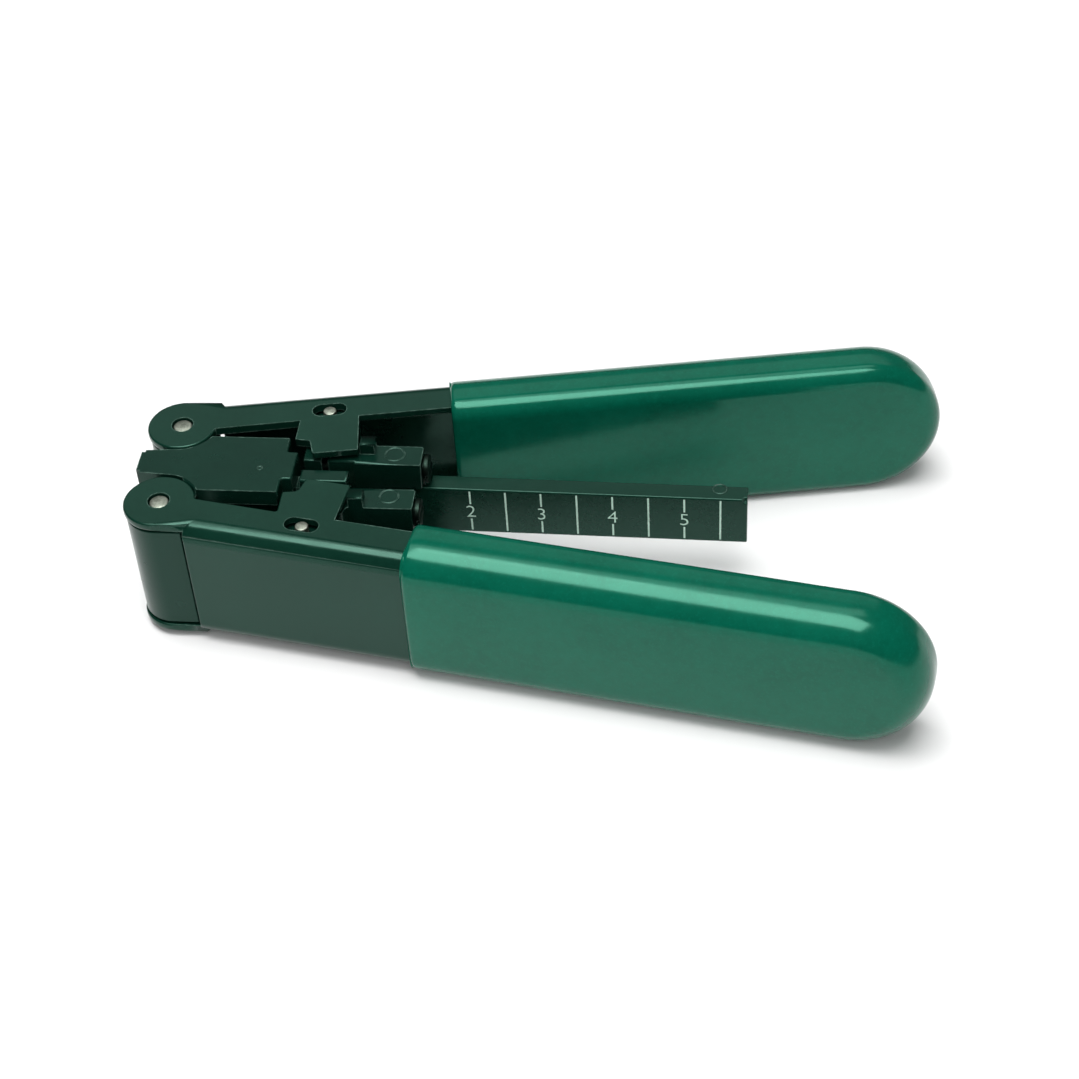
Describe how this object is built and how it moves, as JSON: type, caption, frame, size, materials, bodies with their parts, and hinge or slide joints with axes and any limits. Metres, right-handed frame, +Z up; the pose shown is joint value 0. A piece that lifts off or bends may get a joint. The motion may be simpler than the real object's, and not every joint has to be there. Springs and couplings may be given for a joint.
{
  "type": "flat cable jacket stripper",
  "caption": "Plier-style stripper for flat cable: two channel handles with sleeve grips, sliding blade jaws and a centimetre scale.",
  "frame": {"origin": "bottom centre of the bounding box, with the tool lying on the grips' lower edges", "axes": "+X from the head to the grips, +Y to the far handle, +Z up, parallel to the pivots"},
  "size_m": [0.1116, 0.063, 0.0226],
  "materials": {
    "painted_frame": "semi-gloss dark green-black enamel over sheet steel",
    "painted_body": "semi-gloss dark green-black enamel over cast metal",
    "grip": "soft teal-green vinyl, glossy with a fine mottle",
    "bright_steel": "bright plated steel, lightly pitted",
    "blade_steel": "ground tool steel",
    "dark_steel": "black-oxide screw steel",
    "spring_steel": "oiled spring wire",
    "ruler": "dark enamel with pale green printed marks"
  },
  "bodies": {
    "head": {"head_block": "painted_body", "far_pivot_rivet": "bright_steel", "near_pivot_rivet": "bright_steel", "jaw_guide_pin_upper": "bright_steel", "jaw_guide_pin_lower": "bright_steel"},
    "far_handle": {"far_handle_frame": "painted_frame", "far_grip": "grip", "far_return_spring": "spring_steel"},
    "far_jaw": {"far_jaw": "painted_body", "far_blade_clamp": "painted_body", "far_blade": "blade_steel", "far_jaw_screw_upper": "dark_steel", "far_jaw_screw_lower": "dark_steel", "far_drive_pin": "bright_steel", "ruler": "ruler", "ruler_rivet_1": "bright_steel", "ruler_rivet_2": "bright_steel"},
    "near_handle": {"near_handle_frame": "painted_frame", "near_grip": "grip", "near_return_spring": "spring_steel"},
    "near_jaw": {"near_jaw": "painted_body", "near_blade_clamp": "painted_body", "near_blade": "blade_steel", "near_jaw_screw_upper": "dark_steel", "near_jaw_screw_lower": "dark_steel", "near_drive_pin": "bright_steel"}
  },
  "joints": [
    {"name": "far_handle_hinge", "type": "hinge", "parent": "head", "child": "far_handle", "pos_m": [-0.05086, 0.00774, 0.0113], "axis": [0, 0, 1], "range_deg": [-4.5, 0], "stiffness_Nm_per_rad": 0.5, "springref_deg": 20.05},
    {"name": "near_handle_hinge", "type": "hinge", "parent": "head", "child": "near_handle", "pos_m": [-0.05086, -0.00806, 0.0113], "axis": [0, 0, 1], "range_deg": [0, 4.5], "stiffness_Nm_per_rad": 0.5, "springref_deg": -20.05},
    {"name": "far_jaw_slide", "type": "slide", "parent": "head", "child": "far_jaw", "axis": [0, 1, 0], "range_m": [-0.00161, 0]},
    {"name": "near_jaw_slide", "type": "slide", "parent": "head", "child": "near_jaw", "axis": [0, 1, 0], "range_m": [0, 0.00161]}
  ],
  "couplings": [
    {"joint": "far_jaw_slide", "follows": "far_handle_hinge", "m_per_rad": 0.0204},
    {"joint": "near_jaw_slide", "follows": "near_handle_hinge", "m_per_rad": 0.0204}
  ]
}
